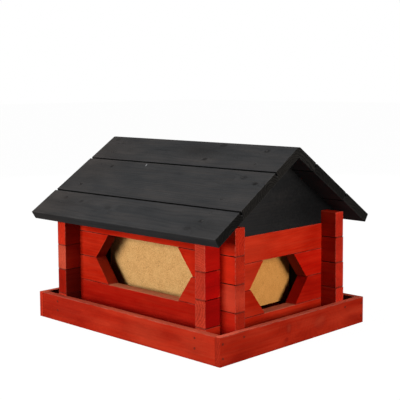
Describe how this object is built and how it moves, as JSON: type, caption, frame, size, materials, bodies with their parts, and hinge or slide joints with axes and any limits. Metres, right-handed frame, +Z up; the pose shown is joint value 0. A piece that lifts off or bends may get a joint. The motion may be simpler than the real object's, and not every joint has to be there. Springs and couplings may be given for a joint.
{
  "type": "bird feeder",
  "caption": "Log-cabin bird feeder: interlocked log walls with hexagonal windows in a railed seed tray, under a lift-off gabled board roof.",
  "frame": {"origin": "on the surface it stands on, under the centre of the tray and of the roof", "axes": "+X along the ridge towards the right gable, -Y towards the front long wall, +Z up"},
  "size_m": [0.397, 0.3397, 0.2788],
  "materials": {
    "red_stained_wood": "planed softwood, translucent red stain, satin, with paler end grain",
    "black_stained_wood": "planed softwood boards, thin black stain, matt, with knots",
    "hardboard": "bare hardboard, finely speckled, matt",
    "plywood": "bare plywood",
    "nail_steel": "dull dark wire nails"
  },
  "bodies": {
    "house": {"tray_floor": "plywood", "tray_rail_front": "red_stained_wood", "tray_rail_back": "red_stained_wood", "tray_rail_left": "red_stained_wood", "tray_rail_right": "red_stained_wood", "tray_nails": "nail_steel", "front_log_top": "red_stained_wood", "front_log_upper_left": "red_stained_wood", "front_log_upper_right": "red_stained_wood", "front_log_lower_left": "red_stained_wood", "front_log_lower_right": "red_stained_wood", "front_log_bottom": "red_stained_wood", "back_log_top": "red_stained_wood", "back_log_upper_left": "red_stained_wood", "back_log_upper_right": "red_stained_wood", "back_log_lower_left": "red_stained_wood", "back_log_lower_right": "red_stained_wood", "back_log_bottom": "red_stained_wood", "left_log_top": "red_stained_wood", "left_log_upper_front": "red_stained_wood", "left_log_upper_back": "red_stained_wood", "left_log_lower_front": "red_stained_wood", "left_log_lower_back": "red_stained_wood", "left_log_bottom": "red_stained_wood", "right_log_top": "red_stained_wood", "right_log_upper_front": "red_stained_wood", "right_log_upper_back": "red_stained_wood", "right_log_lower_front": "red_stained_wood", "right_log_lower_back": "red_stained_wood", "right_log_bottom": "red_stained_wood", "front_strip_left": "black_stained_wood", "front_strip_right": "black_stained_wood", "back_strip_left": "black_stained_wood", "back_strip_right": "black_stained_wood", "left_strip_front": "black_stained_wood", "left_strip_back": "black_stained_wood", "right_strip_front": "black_stained_wood", "right_strip_back": "black_stained_wood", "front_panel": "hardboard", "back_panel": "hardboard", "left_panel": "hardboard", "right_panel": "hardboard"},
    "roof": {"gable_board_left": "black_stained_wood", "gable_board_right": "black_stained_wood", "roof_board_front_top": "black_stained_wood", "roof_board_front_middle": "black_stained_wood", "roof_board_front_bottom": "black_stained_wood", "roof_board_back_top": "black_stained_wood", "roof_board_back_middle": "black_stained_wood", "roof_board_back_bottom": "black_stained_wood", "roof_nails": "nail_steel"}
  },
  "joints": [
    {"name": "roof_lift", "type": "slide", "parent": "house", "child": "roof", "axis": [0, 0, 1], "range_m": [0, 0.15]}
  ]
}
